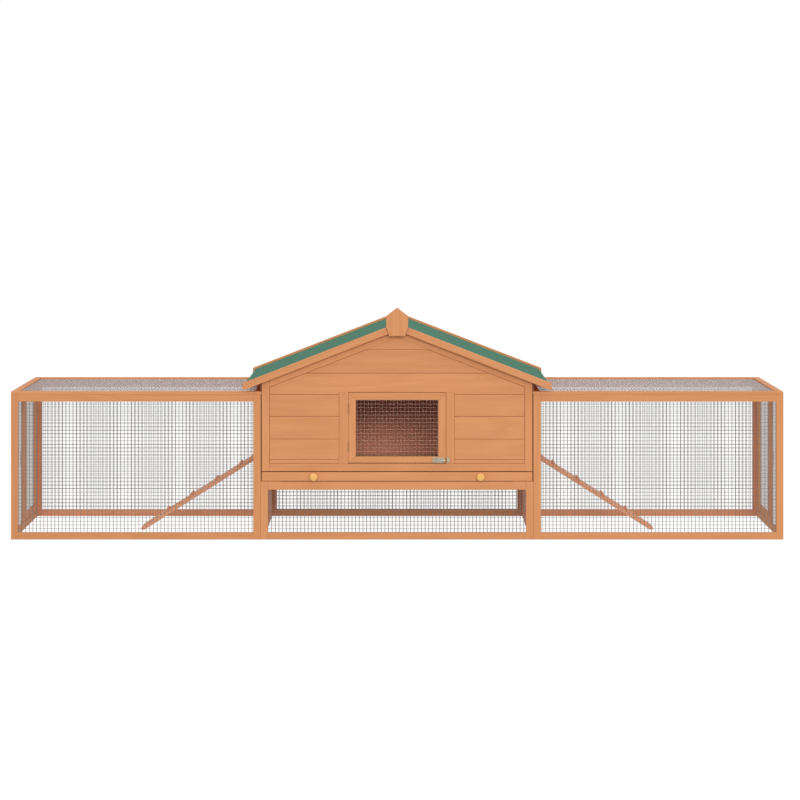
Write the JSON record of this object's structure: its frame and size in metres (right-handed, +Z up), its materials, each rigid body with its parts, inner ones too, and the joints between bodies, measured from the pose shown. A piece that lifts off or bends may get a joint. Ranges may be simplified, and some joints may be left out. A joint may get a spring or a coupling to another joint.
{
  "type": "small animal hutch with run",
  "caption": "Wooden hutch with a gabled felt roof, a mesh door, a pull-out tray and a ramp on each side down into a long mesh run.",
  "frame": {"origin": "on the ground in the middle of the hutch's overall length and depth", "axes": "X along the length, to the right seen from the front; Y to the back; Z up"},
  "size_m": [3.118, 0.7, 0.933],
  "materials": {
    "front_wood": "satin",
    "inner_wood": "matte",
    "ramp_wood": "matte",
    "felt": "matte",
    "wire_mesh": "satin",
    "hinge_metal": "satin",
    "latch_metal": "satin",
    "tray_metal": "satin",
    "knob_wood": "satin"
  },
  "bodies": {
    "hutch": {"front_frame": "front_wood", "front_gable_trims": "front_wood", "front_boards": "front_wood", "door_surround": "front_wood", "back_frame": "front_wood", "back_boards": "front_wood", "left_wall_boards": "inner_wood", "right_wall_boards": "inner_wood", "left_wall_battens": "inner_wood", "right_wall_battens": "inner_wood", "base_front_frame": "front_wood", "base_front_mesh": "wire_mesh", "base_back_frame": "front_wood", "base_back_mesh": "wire_mesh", "tray_runners": "inner_wood", "latch_keeper": "latch_metal", "run_button_screws": "hinge_metal", "fixed_hinge_leaves": "hinge_metal", "left_roof_board": "inner_wood", "right_roof_board": "inner_wood", "roof_felt": "felt", "front_bargeboards": "front_wood", "rear_bargeboards": "front_wood", "finial": "front_wood", "left_run_front_frame": "front_wood", "left_run_front_mesh": "wire_mesh", "left_run_back_frame": "inner_wood", "left_run_back_mesh": "wire_mesh", "left_run_top_frame": "front_wood", "left_run_top_mesh": "wire_mesh", "left_run_end_frame": "front_wood", "left_run_end_mesh": "wire_mesh", "right_run_front_frame": "front_wood", "right_run_front_mesh": "wire_mesh", "right_run_back_frame": "inner_wood", "right_run_back_mesh": "wire_mesh", "right_run_top_frame": "front_wood", "right_run_top_mesh": "wire_mesh", "right_run_end_frame": "front_wood", "right_run_end_mesh": "wire_mesh"},
    "house_door": {"house_door_frame": "front_wood", "house_door_mesh": "wire_mesh", "house_door_hinge_leaves": "hinge_metal", "latch_body": "latch_metal"},
    "bolt": {"latch_bolt": "latch_metal"},
    "tray": {"tray_pan": "tray_metal", "tray_front": "front_wood", "tray_knobs": "knob_wood"},
    "left_run_door": {"left_run_door_frame": "front_wood", "left_run_door_mesh": "wire_mesh", "left_run_door_hinge_leaves": "hinge_metal"},
    "left_button": {"left_run_button": "front_wood"},
    "left_ramp": {"left_ramp": "ramp_wood", "left_ramp_hinge_leaf": "hinge_metal"},
    "right_run_door": {"right_run_door_frame": "front_wood", "right_run_door_mesh": "wire_mesh", "right_run_door_hinge_leaves": "hinge_metal"},
    "right_button": {"right_run_button": "front_wood"},
    "right_ramp": {"right_ramp": "ramp_wood", "right_ramp_hinge_leaf": "hinge_metal"}
  },
  "joints": [
    {"name": "house_door_hinge", "type": "hinge", "parent": "hutch", "child": "house_door", "pos_m": [-0.1955, -0.311, 0.308], "axis": [0, 0, -1], "range_deg": [0, 170]},
    {"name": "bolt_slide", "type": "slide", "parent": "house_door", "child": "bolt", "axis": [1, 0, 0], "range_m": [0, 0.014]},
    {"name": "tray_slide", "type": "slide", "parent": "hutch", "child": "tray", "axis": [0, -1, 0], "range_m": [0, 0.45]},
    {"name": "left_run_door_hinge", "type": "hinge", "parent": "hutch", "child": "left_run_door", "pos_m": [-1.552, 0.2795, 0.0305], "axis": [0, 0, -1], "range_deg": [0, 170]},
    {"name": "right_run_door_hinge", "type": "hinge", "parent": "hutch", "child": "right_run_door", "pos_m": [1.552, 0.2795, 0.0305], "axis": [0, 0, 1], "range_deg": [0, 170]},
    {"name": "left_button_pivot", "type": "hinge", "parent": "hutch", "child": "left_button", "pos_m": [-1.55, -0.0295, 0.291], "axis": [-1, 0, 0], "range_deg": [0, 90]},
    {"name": "right_button_pivot", "type": "hinge", "parent": "hutch", "child": "right_button", "pos_m": [1.55, -0.0295, 0.291], "axis": [1, 0, 0], "range_deg": [0, 90]},
    {"name": "left_ramp_hinge", "type": "hinge", "parent": "hutch", "child": "left_ramp", "pos_m": [-0.547, 0.006, 0.3094], "axis": [0, 1, 0], "range_deg": [0, 55]},
    {"name": "right_ramp_hinge", "type": "hinge", "parent": "hutch", "child": "right_ramp", "pos_m": [0.547, 0.006, 0.3094], "axis": [0, -1, 0], "range_deg": [0, 55]}
  ]
}
